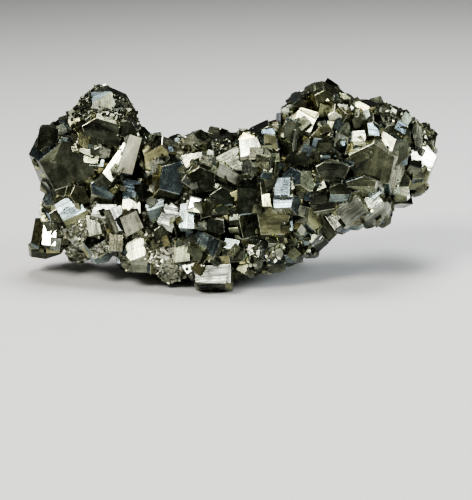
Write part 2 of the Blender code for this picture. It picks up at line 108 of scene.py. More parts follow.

# %% [markdown]
# ## Finishes, face by face
#
# The same metal looks different on each face. A face that grew cleanly is a mirror, a striated
# one is brushed, and air and water have turned others steel-blue, olive or nearly black. Each
# finish here is a metal colour, a roughness, how mottled it is, how strongly it is striated and
# how much painted shade and oxide its crevices take. Faces that make the cluster's look are named
# by their place: millimetres across and up on a sheet through the front foot, which the eye looks
# at squarely. A named face gets the finish whose colour matches how light or dark it looks from
# the eye, so these colours hold painted light besides tarnish: black and dark are partly painted
# shade, and mirror, satin and bright partly painted highlight. A ray from the eye through that
# place finds the face, so the choice stays with the crystal. All other faces draw a finish by
# chance.

# %% The finishes
FINISHES_AND_PAINTED_LIGHT = {
    # finish: (metal colour with painted light and shade, roughness, mottling, striation, painted
    # shade and oxide in crevices)
    "mirror": ((0.80, 0.81, 0.70), 0.13, 0.30, 0.40, 0.85),
    "satin": ((0.86, 0.84, 0.64), 0.40, 0.50, 0.60, 0.85),
    "bright": ((0.45, 0.463, 0.36), 0.18, 0.65, 1.00, 0.85),
    "striped": ((0.41, 0.43, 0.345), 0.16, 0.40, 1.90, 0.85),
    "pale": ((0.38, 0.395, 0.30), 0.19, 0.70, 0.90, 0.85),
    "grey": ((0.27, 0.285, 0.215), 0.19, 0.85, 0.90, 0.85),
    "steel": ((0.15, 0.19, 0.19), 0.17, 0.80, 0.90, 0.85),
    "blue": ((0.24, 0.30, 0.31), 0.16, 0.80, 0.90, 0.85),
    "gold": ((0.37, 0.355, 0.185), 0.17, 0.70, 0.60, 0.85),
    "olive": ((0.195, 0.205, 0.125), 0.18, 0.90, 0.70, 0.85),
    "dark": ((0.070, 0.077, 0.053), 0.20, 1.00, 0.60, 0.85),
    "black": ((0.024, 0.028, 0.018), 0.18, 0.90, 0.40, 0.85),
    "sugar": ((0.34, 0.35, 0.28), 0.30, 0.90, 0.00, 0.35),
    "soot": ((0.100, 0.107, 0.078), 0.24, 0.80, 0.00, 0.85),
}
BY_CHANCE = {
    # finish: its share among the faces that aren't named
    "bright": 3, "pale": 10, "grey": 20, "steel": 12, "blue": 5,
    "gold": 8, "olive": 22, "dark": 25, "black": 6,
}
print("finishes", len(FINISHES_AND_PAINTED_LIGHT))

# %% Where the named finishes lie
# A named face's finish matches how light or dark it looks from the eye: dark and black are partly
# painted shade, mirror, satin and bright partly painted highlight.
FACES = {
    # finish: the places of its faces, in millimetres across and up on the sheet
    "mirror": (
        (-25.5, 10.5), (54.5, 38), (-33, 50), (-49, 16), (26, 15.5), (-8.5, 25), (17, 23),
        (24.5, 31),
    ),
    "satin": ((-26.5, 38.5), (-26.1, 39)),
    "bright": (
        (22, 48), (-34.5, 24), (-30, 22), (-26, 25), (-31, 35.5), (-10, 38),
        (24, 11.5), (47.5, 33.5), (43.5, 41.5),
    ),
    "striped": ((41, 25.5), (34.5, 23), (31, 19.5), (-1.5, 5.5), (-15.5, 22), (-31, 25)),
    "pale": (
        (-32, 19.5), (-30.5, 14.5), (36.5, 44.5), (37.5, 41), (45, 43), (-36, 26), (-23, 15),
        (39, 28.5), (7, 41), (-13.2, 40.1), (-7.1, 41.5),
    ),
    "grey": (
        (2, 37.5), (-5.7, 38.7), (29.8, 53.2), (-37, 19), (53.5, 44), (10.5, 38), (6, 35),
        (-8.5, 40.5), (53, 34.5), (42, 21.5), (47, 25), (7, 11), (22, 41.5), (42, 35.5),
        (21.5, 21.5),
    ),
    "steel": (
        (-44, 24), (-42.5, 24.5), (32, 27), (20, 25), (-20, 25), (-19.5, 22.5), (-34.5, 29),
        (1.5, 14), (-14.5, 32.5), (-5.5, 14), (28, 48.5),
    ),
    "blue": ((-27, 29.5), (15.5, 29.5), (19, 33), (15.5, 25.5), (-11, 21)),
    "olive": (
        (24.5, 58), (29.5, 58), (27, 54.5), (24.5, 20.5), (-40.5, 27.5), (38, 31), (37.5, 38.5),
        (16.5, 45), (17, 41), (12.5, 42.5), (33, 46), (14, 37), (12.5, 34.5), (12.5, 31.5),
        (11, 27), (26.5, 44), (-38.5, 49), (-42, 46), (23, 31.5), (-5.5, 24), (-5.5, 35.5),
        (-15.5, 38.5), (-39.5, 43), (46.5, 45.5), (13, 20),
    ),
    "gold": ((17, 36.5), (23.5, 50.5), (10.5, 29), (-22, 31), (30, 42)),
    "dark": (
        (-12.5, 12.7), (-12.6, 15.2), (-6.9, 9.9), (4.4, 7.8), (-44, 34), (-44.5, 38.5),
        (-34, 45.5), (-50.5, 43), (29.5, 34.5), (-26.5, 46), (26.5, 25.5), (14, 10.5),
        (-18, 16.5), (-16.5, 27.5), (2, 11), (-2, 2), (28.5, 18), (48.5, 40), (32, 29),
        (18, 13.5), (-29.5, 27.5), (-34, 39.5), (-49.5, 29.5), (-22.5, 35), (-22, 28), (1, 30),
        (-47, 21.5), (-50.5, 34), (-33.5, 31.5), (-33, 53.5), (27.5, 41), (37, 47.5),
        (-19, 45.5),
    ),
    "sugar": (
        (-35, 12.5), (-41, 13), (-38.5, 10), (-44, 12), (-31, 10), (-16, 12), (-14, 7), (-19, 9),
        (-11, 42.6), (-8.4, 43.4), (-7.1, 42.1), (-10, 5), (-22.5, 6), (-7, 8), (-19, 13),
        (-33, 15.5), (-28, 8.5), (-12, 4.5), (12, 9), (8, 8),
    ),
    "black": (
        (-3.5, 18.5), (-22.5, 40), (10, 6.5), (2.5, 18.5), (-1, 23), (21.5, 37.5), (41, 46),
        (50, 45), (7, 18.5), (6, 26), (-6.5, 32), (-1, 27), (6.5, 30.5),
    ),
}

print("named places", sum(len(places) for places in FACES.values()))

# %% The eye and the sheet
FRONT_FOOT = Vector((-2.2, -21.3, 0.0))  # millimetres, in the frame
EYE = Vector((3.2, -374.9, 120.3))  # millimetres, from the front foot
LOOK_DOWN = math.radians(16.0)
LEAN = math.radians(1.35)
SHEET = Matrix.Rotation(-LOOK_DOWN, 3, "X") @ Matrix.Rotation(LEAN, 3, "Y")


def seen_face(tree, across, up):
    """The number of the face that the eye sees through a place on the sheet, or None."""
    sight = SHEET @ Vector((across, 0, up)) - EYE
    return tree.ray_cast((FRONT_FOOT + EYE) * MM, sight.normalized())[2]


def surface_tree(piece):
    """A search tree over a piece's faces, for the ray."""
    points = [vertex.co for vertex in piece.data.vertices]
    return BVHTree.FromPolygons(points, [face.vertices for face in piece.data.polygons])


# %% Draw a finish for every face, and place the named ones
def draw_finishes(shares, count):
    """So many finishes, drawn by their shares."""
    return chance.choices(list(shares), list(shares.values()), k=count)


tree = surface_tree(cluster)
finish_of = draw_finishes(BY_CHANCE, len(cluster.data.polygons))
named = set()
# the named faces take the finish that paints their light and shade as seen from the eye
for finish, places in FACES.items():
    for place in places:
        number = seen_face(tree, *place)
        if number is not None:
            finish_of[number] = finish
            named.add(number)
print("faces finished by name", len(named), "of", len(finish_of))

# %% [markdown]
# ## Granular pyrite
#
# Between the crystals, and along the tops, the cluster isn't made of large crystals but of
# pyrite as granular as sugar. In the solid these masses are lumps of small faces that meet
# at flat angles. A flood fill over such angles finds them: a patch of several small faces is
# granular, and a crystal's face is on its own. High patches are tarnished dark, and those low
# on the front are pale.

# %% Patches of small faces
LUMP_ANGLE = math.radians(28)
LUMP_AREA = 11.0 * MM**2
LUMP_FACES = 5


def granular_patches(bm):
    """Lists of small faces that join at flat angles."""
    waiting = {face for face in bm.faces if face.calc_area() < LUMP_AREA}
    patches = []
    while waiting:
        patch = [waiting.pop()]
        for face in patch:
            for edge in face.edges:
                if len(edge.link_faces) == 2 and edge.calc_face_angle() < LUMP_ANGLE:
                    near = [other for other in edge.link_faces if other in waiting]
                    waiting.difference_update(near)
                    patch.extend(near)
        if len(patch) >= LUMP_FACES:
            patches.append(patch)
    return patches


# %% Bare masses, and the finish of a granular face
BARE = (
    # an ellipsoid's centre and radii, in millimetres from the front foot
    ((-34, 30, 44), (9.8, 12, 10)),
    ((-2, 25, 28), (18, 12, 13.5)),
    ((45, 28, 38), (11, 14, 10.5)),
    ((-37, 22.5, 14.5), (11, 13, 7.5)),
    ((-16, 17, 8.5), (10, 14, 6.5)),
    ((56, 30, 34), (5.8, 10, 7)),
)
BARE_REACH = 1.2  # how far a mass reaches, in its own radii
SUGAR_TOP = 22 * MM
BACKWARD = 0.3  # a normal's y from which a face counts as turned to the back


def granular_finish(face):
    """Pale sugar low on the front, tarnish elsewhere."""
    if face.calc_center_median().z < SUGAR_TOP and face.normal.y < BACKWARD:
        return "sugar"
    return "soot"


def is_bare(face):
    """Whether a small face lies on one of the bare masses, which are ellipsoids."""
    if face.calc_area() > LUMP_AREA:
        return False
    place = face.calc_center_median() / MM - FRONT_FOOT
    for centre, radii in BARE:
        offset = place - Vector(centre)
        if math.hypot(*(along / radius for along, radius in zip(offset, radii))) < BARE_REACH:
            return True
    return False


# %% Find the granular faces
bm = bmesh.new()
bm.from_mesh(cluster.data)
bm.faces.ensure_lookup_table()
granular = set()
for patch in [*granular_patches(bm), [face for face in bm.faces if is_bare(face)]]:
    for face in patch:
        granular.add(face.index)
        if face.index not in named:
            finish_of[face.index] = granular_finish(face)
granular.update(face.index for face in bm.faces if finish_of[face.index] == "sugar")
granular_area = sum(bm.faces[number].calc_area() for number in granular) / MM**2
print("granular faces", len(granular), "area", round(granular_area), "mm2")

# %% [markdown]
# ## Seats for the small crystals
#
# Small crystals and crumbs fill the crevices, where two crystals meet at a hollow edge. The seats
# are read off the solid now, before its faces are cut: points along every hollow edge, each with
# the direction that leads out of the crevice. A corner where several hollow edges meet is a pit,
# and the granular faces are noted too, because grains will lie on them.

# %% Read the crevices
HOLLOW = math.radians(-22)


def is_hollow(edge):
    return len(edge.link_faces) == 2 and edge.calc_face_angle_signed() < HOLLOW


def way_out(faces):
    """The mean direction of the faces."""
    return sum([face.normal for face in faces], Vector()).normalized()


def longest_side(edges):
    return max(edges, key=lambda edge: edge.calc_length())


def edge_direction(edge):
    return (edge.verts[1].co - edge.verts[0].co).normalized()


crevices = []
for edge in bm.edges:
    if is_hollow(edge):
        start, end = [vertex.co.copy() for vertex in edge.verts]
        crevices.append((start, end, way_out(edge.link_faces)))
crevice_length = sum((end - start).length for start, end, out in crevices)
print("hollow edges", len(crevices), "length", round(crevice_length / MM), "mm")

# %% Read the pits and the granular faces
pits = []
for vertex in bm.verts:
    if sum(is_hollow(edge) for edge in vertex.link_edges) >= 2:
        widest = max(vertex.link_faces, key=lambda face: face.calc_area())
        along = edge_direction(longest_side(widest.edges))
        out = way_out(vertex.link_faces)
        pits.append((vertex.co.copy(), out, widest.normal.copy(), along, widest.calc_area()))
lumps = []
for number in sorted(granular):
    face = bm.faces[number]
    corners = [vertex.co.copy() for vertex in face.verts]
    lumps.append((corners, face.normal.copy(), face.calc_area(), finish_of[number]))
bm.free()
print("pits", len(pits), "granular faces", len(lumps))

# %% [markdown]
# ## What the finish leaves on the mesh
# The material reads a face's finish from attributes, which stay with the face when it is cut,
# extruded or subdivided. Each face also gets its own patch of the UV map, in millimetres, with V
# along its striations. Striations run parallel to an edge of the crystal, so V follows the
# longest edge. Face by face chance shifts the tone, and from corner to corner it shifts the
# brightness too: a painted sheen that grades each face like a reflection sweeping across it.
#
# The attribute "facet" holds the number that a crystal's face has now, so that the pieces it is
# cut into later can still be told. Granular faces, worn edges and ridges get marks below zero.

# %% A helper that writes the finishes
def striation_way(mesh, face):
    """The direction of the face's longest edge."""
    corners = [mesh.vertices[number].co for number in face.vertices]
    sides = [end - start for start, end in zip(corners, corners[1:] + corners[:1])]
    return max(sides, key=lambda side: side.length).normalized()


FACE_SHADE = (0.8, 1.2)
WARMTH = 0.06
WARMTH_BY_CHANNEL = (1, 0.4, -1)
# painted sheen: a brightness for each corner, so that a face grades from lighter to darker like a
# reflection
CORNER_SHEEN = (0.55, 1.45)
PATCH_SHIFT = 50


def write_finish(piece, finishes):
    """Attributes and UV map for a mesh whose faces have these finishes."""
    mesh = piece.data
    while mesh.uv_layers:
        mesh.uv_layers.remove(mesh.uv_layers[0])
    names = ("roughness", "mottle", "striae", "shade_and_oxide")
    mesh.attributes.new("metal", "FLOAT_COLOR", "CORNER")
    for name in (*names, "worn"):
        mesh.attributes.new(name, "FLOAT", "FACE")
    mesh.uv_layers.new(name="grain")
    metal = mesh.attributes["metal"]
    gloss = [mesh.attributes[name] for name in names]
    uv = mesh.uv_layers["grain"]
    for face, finish in zip(mesh.polygons, finishes):
        colour, *values = FINISHES_AND_PAINTED_LIGHT[finish]
        shade = chance.uniform(*FACE_SHADE)
        warmth = chance.uniform(-WARMTH, WARMTH)
        warmed = [shade * (1 + warmth * side) for side in WARMTH_BY_CHANNEL]
        tint = [channel * factor for channel, factor in zip(colour, warmed)]
        for attribute, value in zip(gloss, values):
            attribute.data[face.index].value = value
        along = striation_way(mesh, face)
        across = along.cross(face.normal)
        shift = Vector((chance.uniform(0, PATCH_SHIFT), chance.uniform(0, PATCH_SHIFT)))
        for corner in face.loop_indices:
            place = mesh.vertices[mesh.loops[corner].vertex_index].co / MM
            uv.data[corner].uv = Vector((place.dot(across), place.dot(along))) + shift
            # painted sheen, grading the colour across the face
            sheen = chance.uniform(*CORNER_SHEEN)
            metal.data[corner].color = (*[channel * sheen for channel in tint], 1)


# %% Finish the cluster's faces, and mark them
GRANULAR = -1
WORN = -2
RIDGE = -3
write_finish(cluster, finish_of)
facet = cluster.data.attributes.new("facet", "INT", "FACE")
for face in cluster.data.polygons:
    facet.data[face.index].value = GRANULAR if face.index in granular else face.index
print("finishes", {name: finish_of.count(name) for name in FINISHES_AND_PAINTED_LIGHT})

# %% [markdown]
# ## Worn edges
#
# An outer edge of a real crystal is never perfectly sharp: it is chipped and rubbed, and catches
# the light as a thin line. The outer edges between large faces get one narrow bevel, and the new
# faces are marked as worn. The faces that the cluster rests on are left out here and later, so
# that it stays flat there.

# %% Choose the outer edges
WORN_WIDTH = 0.11 * MM
OUTER_ANGLE = math.radians(32)
SHORTEST_WORN = 0.9 * MM
SMALLEST_WORN = 2.0 * MM**2
SOLE_HEIGHT = 0.3 * MM


def is_sole(face):
    """Whether the cluster rests on this face, which stays flat."""
    return face.calc_center_median().z < SOLE_HEIGHT


def facet_layer(bm):
    return bm.faces.layers.int["facet"]


def is_worn(edge, layer):
    """Whether an edge stands out sharply between two large faces of crystals."""
    faces = edge.link_faces
    if len(faces) != 2 or edge.calc_length() < SHORTEST_WORN or any(map(is_sole, faces)):
        return False
    if min(face[layer] for face in faces) < 0:
        return False
    if min(face.calc_area() for face in faces) < SMALLEST_WORN:
        return False
    return edge.calc_face_angle_signed() > OUTER_ANGLE


# %% Bevel them
open_mesh(cluster, "EDGE")
bm = bmesh.from_edit_mesh(cluster.data)
layer = facet_layer(bm)
outer = 0
for edge in bm.edges:
    if is_worn(edge, layer):
        edge.select_set(True)
        outer += 1
bmesh.update_edit_mesh(cluster.data)
bpy.ops.mesh.bevel(offset=WORN_WIDTH, segments=1, affect="EDGES", clamp_overlap=False)
bpy.ops.mesh.select_mode(type="FACE")
bm = bmesh.from_edit_mesh(cluster.data)
worn = bm.faces.layers.float["worn"]
layer = facet_layer(bm)
for face in bm.faces:
    if face.select:
        face[worn] = 1.0
        face[layer] = WORN
bmesh.update_edit_mesh(cluster.data)
close_mesh()
print("outer edges", outer, "faces", len(cluster.data.polygons))

# %% [markdown]
# ## Grown steps
#
# Crystals grow in layers, and the last layer often stops short of the edge. Some of the large
# faces get such a layer, or two: the face is inset, and the inner part stands out by a tenth of a
# millimetre. It is done only on faces with wide corners, where an inset stays clean.

# %% Choose the large faces
STEP_AREA = 9.0 * MM**2
STEPPED_SHARE = 0.35
NARROWEST_CORNER = math.radians(40)
SHORTEST_SIDE = 0.5 * MM


def is_clean(corner):
    """Whether a corner bulges outwards and isn't narrow, and its side isn't tiny."""
    wide = corner.is_convex and corner.calc_angle() >= NARROWEST_CORNER
    return wide and corner.edge.calc_length() >= SHORTEST_SIDE


def faces_by_facet(bm):
    """The largest piece of each large crystal face, by the number of that face."""
    layer = facet_layer(bm)
    largest = {}
    for face in bm.faces:
        number = face[layer]
        if number >= 0 and face.calc_area() > STEP_AREA and not is_sole(face):
            if number not in largest or face.calc_area() > largest[number].calc_area():
                largest[number] = face
    return largest


open_mesh(cluster)
bm = bmesh.from_edit_mesh(cluster.data)
large = faces_by_facet(bm)
clean = sorted(number for number, face in large.items() if all(map(is_clean, face.loops)))
stepped = {number for number in clean if chance.random() < STEPPED_SHARE}
print("large faces", len(large), "clean", len(clean), "stepped", len(stepped))

# %% Raise the steps
FIRST_STEP = (0.45 * MM, 0.09 * MM)  # margin and rise
SECOND_STEP = (0.8 * MM, 0.07 * MM)
SECOND_SHARE = 0.5


def raise_steps(numbers, margin, rise):
    """Insets the largest piece of each of these crystal faces, and raises the inner part."""
    bpy.ops.mesh.select_all(action="DESELECT")
    bm = bmesh.from_edit_mesh(cluster.data)
    inner = [face for number, face in faces_by_facet(bm).items() if number in numbers]
    for face in inner:
        face.select_set(True)
    count = len(inner)
    bpy.ops.mesh.inset(thickness=margin, depth=rise, use_individual=True)
    print("steps", count, "margin", round(margin / MM, 2), "mm")


raise_steps(stepped, *FIRST_STEP)
raise_steps({number for number in stepped if chance.random() < SECOND_SHARE}, *SECOND_STEP)
close_mesh()

# %% [markdown]
# ## Striations
#
# Pyrite's faces carry parallel ridges, where two kinds of face took turns in growing. A striated
# face is cut into strips with the bisect operator, at uneven distances, and every other strip is
# extruded outwards by less than a tenth of a millimetre. The strips run along the face's longest
# edge, as the UV map does.

# %% Choose the striated faces
STRIATED_SHARE = 0.45
STRIATED_PLACES = (
    # millimetres across and up on the sheet
    (-1.5, 5.5), (-44, 24), (-15.5, 22), (41, 25.5), (34.5, 23), (31, 19.5), (13, 20), (42, 35.5),
    (-30, 36), (-26, 34), (36, 38), (25.5, 16.5), (-26, 29.5), (-41, 27), (-34, 23), (8, 41),
    (22, 48), (2, 37.5), (-34, 40), (47.5, 33.5), (-50, 38), (24, 20.5), (-9, 37.5), (7, 26),
)


def striated_facets(piece, numbers):
    """Those of the numbers that are striated, by place or by chance."""
    tree = surface_tree(piece)
    facet = piece.data.attributes["facet"].data
    wanted = set()
    for place in STRIATED_PLACES:
        found = seen_face(tree, *place)
        if found is not None:
            wanted.add(facet[found].value)
    by_chance = {number for number in sorted(numbers) if chance.random() < STRIATED_SHARE}
    return (wanted | (by_chance - stepped)) & set(numbers)


striated = striated_facets(cluster, large)
print("striated", len(striated))

# %% Cut the strips
STRIP_WIDTHS = (0.35 * MM, 1.5 * MM)
FIRST_STRIP = 0.7  # the first strip's width, as a share of the others'
MOST_STRIPS = 14


def strip_places(face, across):
    """Uneven distances along the direction across, from one side of the face to the other."""
    heights = [vertex.co.dot(across) for vertex in face.verts]
    places = [min(heights) + chance.uniform(*STRIP_WIDTHS) * FIRST_STRIP]
    while places[-1] < max(heights) and len(places) < MOST_STRIPS:
        places.append(places[-1] + chance.uniform(*STRIP_WIDTHS))
    return places[:-1]


open_mesh(cluster)
cuts = {}
for number in sorted(striated):
    bm = bmesh.from_edit_mesh(cluster.data)
    face = faces_by_facet(bm).get(number)
    if face is None:
        continue
    along = edge_direction(longest_side(face.edges))
    across = along.cross(face.normal).normalized()
    places = strip_places(face, across)
    cuts[number] = (across, places)
    bpy.ops.mesh.select_all(action="DESELECT")
    face.select_set(True)
    bpy.ops.mesh.hide(unselected=True)
    for place in places:
        bpy.ops.mesh.select_all(action="SELECT")
        bpy.ops.mesh.bisect(plane_co=across * place, plane_no=across)
    bpy.ops.mesh.reveal(select=False)
print("striated faces", len(cuts), "cuts", sum(len(places) for across, places in cuts.values()))

# %% Raise every other strip
RIDGE_RISES = (0.04 * MM, 0.07 * MM, 0.11 * MM)
for turn, rise in enumerate(RIDGE_RISES):
    ridges = 0
    bm = bmesh.from_edit_mesh(cluster.data)
    layer = facet_layer(bm)
    bpy.ops.mesh.select_all(action="DESELECT")
    for face in bm.faces:
        if face[layer] not in cuts:
            continue
        across, places = cuts[face[layer]]
        middle = face.calc_center_median().dot(across)
        strip = sum(place < middle for place in places)
        if strip % 2 and (strip // 2 + face[layer]) % len(RIDGE_RISES) == turn:
            face.select_set(True)
            ridges += 1
    bpy.ops.mesh.extrude_faces_move(TRANSFORM_OT_shrink_fatten={"value": rise})
    bm = bmesh.from_edit_mesh(cluster.data)
    layer = facet_layer(bm)
    for face in bm.faces:
        if face.select:
            face[layer] = RIDGE
    bmesh.update_edit_mesh(cluster.data)
    print("ridges", ridges, "rise", round(rise / MM, 2), "mm")
close_mesh()

# %% [markdown]
# ## Rough lumps
#
# The granular masses are roughened on the mesh itself: their faces are split into triangles,
# subdivided, and moved at random along their normals, which the subdivide operator calls fractal.
# What was pushed below the resting plane is then laid flat on it, and slivers with no area, which
# the cuts leave in narrow corners, are dissolved. The grains that lie on the masses come later.

# %% Roughen the granular faces
SPLIT_AREA = 0.45 * MM**2


def select_granular(rule):
    """Selects the granular faces for which the rule is true."""
    bpy.ops.mesh.select_all(action="DESELECT")
    bm = bmesh.from_edit_mesh(cluster.data)
    layer = facet_layer(bm)
    for face in bm.faces:
        face.select_set(face[layer] == GRANULAR and rule(face))
    bmesh.update_edit_mesh(cluster.data)


def roughen(cuts, strength, seed):
    """Subdivides the selected faces, and moves the new points along their normals at random."""
    settings = {"smoothness": 0.0, "fractal": strength, "fractal_along_normal": 1.0, "seed": seed}
    bpy.ops.mesh.subdivide(number_cuts=cuts, **settings)


open_mesh(cluster)
select_granular(lambda face: not is_sole(face))
bpy.ops.mesh.quads_convert_to_tris(quad_method="BEAUTY", ngon_method="BEAUTY")
roughen(2, 0.22, seed=3)
select_granular(lambda face: face.calc_area() > SPLIT_AREA)
roughen(1, 0.25, seed=5)

# %% Lay the sole flat, and dissolve slivers
SLIVER = 0.002 * MM
bm = bmesh.from_edit_mesh(cluster.data)
for vertex in bm.verts:
    vertex.select_set(vertex.co.z < 0)
bm.select_flush(True)
bmesh.update_edit_mesh(cluster.data)
bpy.ops.transform.resize(value=(1, 1, 0), center_override=(0, 0, 0))
bpy.ops.mesh.select_all(action="SELECT")
bpy.ops.mesh.dissolve_degenerate(threshold=SLIVER)
close_mesh()
lowest = min(vertex.co.z for vertex in cluster.data.vertices)
print("faces", len(cluster.data.polygons), "lowest point", lowest)

# %% [markdown]
# ## Habits of the small crystals
#
# Each habit is modelled once, about one unit wide. The cube gets a bevel. The twelve-sided habit
# is a cube cut by twelve planes, and the modified one is a cube whose corners are cut off. A
# broken grain is a cube cut by planes at random. Bisect keeps the inner side and fills the cut,
# so each stays closed.

# %% Helpers for the habits
def any_direction():
    """A vector with no preferred direction."""
    return Vector([chance.gauss(0, 1) for _ in range(3)])


def start_habit(name):
    bpy.ops.object.select_all(action="DESELECT")
    bpy.ops.mesh.primitive_cube_add(size=1.0, location=(0, 0, 0))
    habit = bpy.context.object
    habit.name = name
    return habit


def cut_habit(habit, planes):
    """Cuts a habit down by planes, each a normal and a distance."""
    open_mesh(habit)
    for normal, distance in planes:
        normal = Vector(normal).normalized()
        bpy.ops.mesh.select_all(action="SELECT")
        plane = {"plane_co": normal * distance, "plane_no": normal}
        bpy.ops.mesh.bisect(**plane, use_fill=True, clear_outer=True)
    close_mesh()


def hide_away(habit):
    """Takes a template out of the scene and gives its mesh."""
    mesh = habit.data
    bpy.data.objects.remove(habit)
    return mesh


# %% Model the habits
CUBE_BEVEL = 0.025
PENTAGON_DEPTH = 0.45  # how far the twelve faces lie from the middle
CORNER_DEPTHS = (0.73, 0.82)
GRAIN_DEPTHS = (0.30, 0.48)
GRAIN_CUTS = 9


def cube_habit():
    habit = start_habit("cube_habit")
    open_mesh(habit)
    bpy.ops.mesh.select_all(action="SELECT")
    bpy.ops.mesh.bevel(offset=CUBE_BEVEL, segments=1, affect="EDGES")
    close_mesh()
    return habit


def pentagon_habit():
    habit = start_habit("pentagon_habit")
    planes = []
    for first in (-1, 1):
        for second in (-2, 2):
            for normal in ((0, first, second), (second, 0, first), (first, second, 0)):
                planes.append((normal, PENTAGON_DEPTH))
    cut_habit(habit, planes)
    return habit


def modified_habit():
    habit = start_habit("modified_habit")
    corners = itertools.product((-1, 1), repeat=3)
    cut_habit(habit, [(corner, chance.uniform(*CORNER_DEPTHS)) for corner in corners])
    return habit


def broken_habit(number):
    habit = start_habit(f"broken_habit_{number}")
    planes = []
    for _ in range(GRAIN_CUTS):
        normal = any_direction()
        planes.append((normal, chance.uniform(*GRAIN_DEPTHS)))
    cut_habit(habit, planes)
    return habit


CRYSTAL_HABITS = [hide_away(make()) for make in (cube_habit, pentagon_habit, modified_habit)]
BROKEN_HABITS = [hide_away(broken_habit(number)) for number in range(5)]
print("habit faces", [len(mesh.polygons) for mesh in CRYSTAL_HABITS + BROKEN_HABITS])

# %% [markdown]
# ## Sowing
#
# A few thousand grains would be slow as separate objects, so the copies are added to one mesh,
# each with a place, a turn and three sizes of its own. The piece then gets its finish like the
# cluster. A seed says what is sown: the habit, the place, the turn, the three sizes, and the
# shares of the finishes that its faces draw from.

# %% Turns and sizes by chance
def random_turn(most=360.0):
    """A turn about any axis, by up to this many degrees."""
    axis = any_direction().normalized()
    return Matrix.Rotation(math.radians(chance.uniform(0, most)), 3, axis)


def turn_of(normal, along):
    """The turn whose Z is the normal, and whose Y runs along."""
    return Matrix((along.cross(normal), along, normal)).transposed()


def skewed_width(least, most):
    """A width between the two, more often near the least."""
    return least + (most - least) * chance.random() ** 2


def three_sizes(width, least, most):
    """Three sizes near a width, because no two crystals have the same proportions."""
    return [width * chance.uniform(least, most) for _ in range(3)]


# %% Sow copies of the habits
def sow(name, seeds):
    """One piece from a list of seeds."""
    bm = bmesh.new()
    finishes = []
    for habit, place, turn, sizes, shares in seeds:
        first = len(bm.verts)
        bm.from_mesh(habit)
        bm.verts.ensure_lookup_table()
        placed = turn @ Matrix.Diagonal(sizes)
        for vertex in bm.verts[first:]:
            vertex.co = place + placed @ vertex.co
        finishes += draw_finishes(shares, len(habit.polygons))
    mesh = bpy.data.meshes.new(name)
    bm.to_mesh(mesh)
    bm.free()
    piece = bpy.data.objects.new(name, mesh)
    bpy.context.scene.collection.objects.link(piece)
    write_finish(piece, finishes)
    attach(piece, "root")
    print(name, len(seeds), "copies,", len(mesh.polygons), "faces")
    return piece


# %% [markdown]
# ## Small crystals in the crevices
#
# The gaps between the large crystals hold younger, smaller ones. One sits in each pit that is
# far enough from the last, turned much like the widest face beside it, and tinier ones lie along
# the hollow edges in any direction. All are sunk into the crevice, and none sits on the granular
# masses or so low that it would lift the cluster.

# %% Where small crystals may sit
LOWEST_SEAT = 2.2 * MM
BARE_MARGIN = 1.3 * MM
lump_tree = KDTree(len(lumps))
for number, (corners, normal, area, finish) in enumerate(lumps):
    lump_tree.insert(sum(corners, Vector()) / len(corners), number)
lump_tree.balance()


def on_lump(place):
    """Whether a place is close to a granular face."""
    return lump_tree.find(place)[2] < BARE_MARGIN


def sample_crevices(spacing):
    """Places along the hollow edges, a spacing apart on average, with the way out."""
    seats = []
    for start, end, out in crevices:
        count = int((end - start).length / spacing + chance.random())
        for _ in range(count):
            seats.append((start.lerp(end, chance.random()), out))
    return [seat for seat in seats if seat[0].z > LOWEST_SEAT]


# %% Crystals in the pits
HABIT_SHARES = (6, 2, 3)  # cube, pentagon, modified
SMALL_FINISHES = {
    "bright": 3, "pale": 7, "grey": 23, "steel": 13, "blue": 2,
    "gold": 10, "olive": 28, "dark": 24, "black": 6,
}
PIT_SPACING = 3.6 * MM
WIDE_AREA = 28.0 * MM**2
WIDTHS = (2.4 * MM, 4.8 * MM)
WIDTHS_BY_A_WIDE_FACE = (1.2 * MM, 2.2 * MM)
PROPORTIONS = (0.7, 1.15)
SINK = (0.2, 0.4)  # how deep a crystal's middle lies below its seat, in its widths
MOST_TURN = 50.0  # degrees from the face beside it


def draw_habit():
    return chance.choices(CRYSTAL_HABITS, HABIT_SHARES)[0]


seeds = []
taken = []
chance.shuffle(pits)
for place, out, normal, along, area in pits:
    close = any((place - other).length < PIT_SPACING for other in taken)
    if close or place.z < 2 * LOWEST_SEAT or on_lump(place):
        continue
    taken.append(place)
    width = chance.uniform(*(WIDTHS if area < WIDE_AREA else WIDTHS_BY_A_WIDE_FACE))
    sizes = three_sizes(width, *PROPORTIONS)
    turn = random_turn(most=MOST_TURN) @ turn_of(normal, along)
    seat = place - out * width * chance.uniform(*SINK)
    seeds.append((draw_habit(), seat, turn, sizes, SMALL_FINISHES))
print("crystals in pits", len(seeds))

# %% Tinier crystals along the hollow edges
TINY_SPACING = 6.5 * MM
TINY_WIDTHS = (1.1 * MM, 2.8 * MM)
TINY_PROPORTIONS = (0.75, 1.2)
TINY_SINK = (0.15, 0.32)
for place, out in sample_crevices(TINY_SPACING):
    width = skewed_width(*TINY_WIDTHS)
    sizes = three_sizes(width, *TINY_PROPORTIONS)
    seat = place - out * width * chance.uniform(*TINY_SINK)
    if not on_lump(place):
        seeds.append((draw_habit(), seat, random_turn(), sizes, SMALL_FINISHES))
small_crystals = sow("small_crystals", seeds)

# %% [markdown]
# ## Crumbs
#
# Splinters and crumbs of pyrite lie along the crevices, darker and browner than the crystals:
# the brown is rust, and the dark is painted shade that keeps the crevices dark. They are broken
# grains, sown like the crystals.

